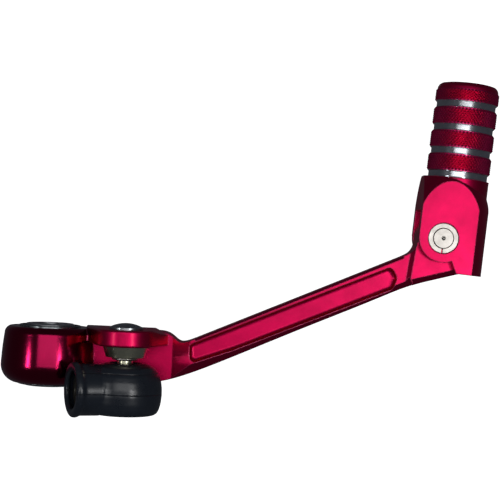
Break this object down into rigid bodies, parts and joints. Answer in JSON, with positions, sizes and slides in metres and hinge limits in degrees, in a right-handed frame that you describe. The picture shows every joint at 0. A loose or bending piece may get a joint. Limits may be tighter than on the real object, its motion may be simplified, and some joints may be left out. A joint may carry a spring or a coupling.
{
  "type": "gear shift lever",
  "caption": "Folding gear shift lever: pocketed arm, pivot boss with sleeve and seals, booted ball joint for the shift rod, and a sprung folding toe tip with a grooved knurled peg.",
  "frame": {"origin": "centre of the pivot bore, inside the boss", "axes": "+Y along the pivot bore to the outboard side, +X forward towards the toe tip, +Z out of the lever's upper face"},
  "size_m": [0.1409, 0.0992, 0.0408],
  "materials": {
    "red_anodised": "anodised, satin",
    "collar_steel": "ground",
    "bronze": "machined",
    "seal_steel": "pressed",
    "seal_rubber": "matt",
    "zinc_yellow": "yellow zinc plated",
    "nut_steel": "dark zinc plated",
    "bright_steel": "polished stainless",
    "boot_rubber": "smooth moulded",
    "socket_steel": "zinc plated",
    "nylon": "moulded",
    "spring_steel": "drawn wire"
  },
  "bodies": {
    "collar": {"pivot_collar": "collar_steel"},
    "lever": {"lever_arm": "red_anodised", "pivot_bush_outer": "bronze", "pivot_bush_inner": "bronze", "seal_case_outer": "seal_steel", "seal_case_inner": "seal_steel", "seal_lip_outer": "seal_rubber", "seal_lip_inner": "seal_rubber", "ball_stud": "zinc_yellow", "stud_nut": "nut_steel", "fold_bush_upper": "bronze", "fold_bush_lower": "bronze", "fold_washer_upper": "bronze", "fold_washer_lower": "bronze", "tip_spring": "spring_steel"},
    "folding_tip": {"toe_tip": "red_anodised", "fold_pin": "bright_steel", "pin_clip_upper": "bright_steel", "pin_clip_lower": "bright_steel"},
    "boot_neck": {"boot_neck_ring": "bright_steel"},
    "rod_end": {"socket_housing": "socket_steel", "ball_seat_upper": "nylon", "ball_seat_lower": "nylon", "socket_cap": "socket_steel", "cap_ring": "spring_steel", "dust_boot": "boot_rubber"}
  },
  "joints": [
    {"name": "lever_pivot", "type": "hinge", "parent": "collar", "child": "lever", "pos_m": [0, 0, 0], "axis": [0, 1, 0], "range_deg": [-12, 12]},
    {"name": "tip_fold", "type": "hinge", "parent": "lever", "child": "folding_tip", "pos_m": [0.1116, 0.0379, 0], "axis": [0, 0, 1], "range_deg": [0, 45], "stiffness_Nm_per_rad": 0.25, "springref_deg": -45.84, "deforming": ["tip_spring"]},
    {"name": "rod_swivel", "type": "hinge", "parent": "lever", "child": "boot_neck", "pos_m": [0.0233, -0.0084, 0.014], "axis": [0, 1, 0], "range_deg": [0, 137]},
    {"name": "rod_tilt", "type": "hinge", "parent": "boot_neck", "child": "rod_end", "pos_m": [0.0233, -0.0084, 0.014], "axis": [0.3907, 0, 0.9205], "range_deg": [-8, 8]}
  ]
}
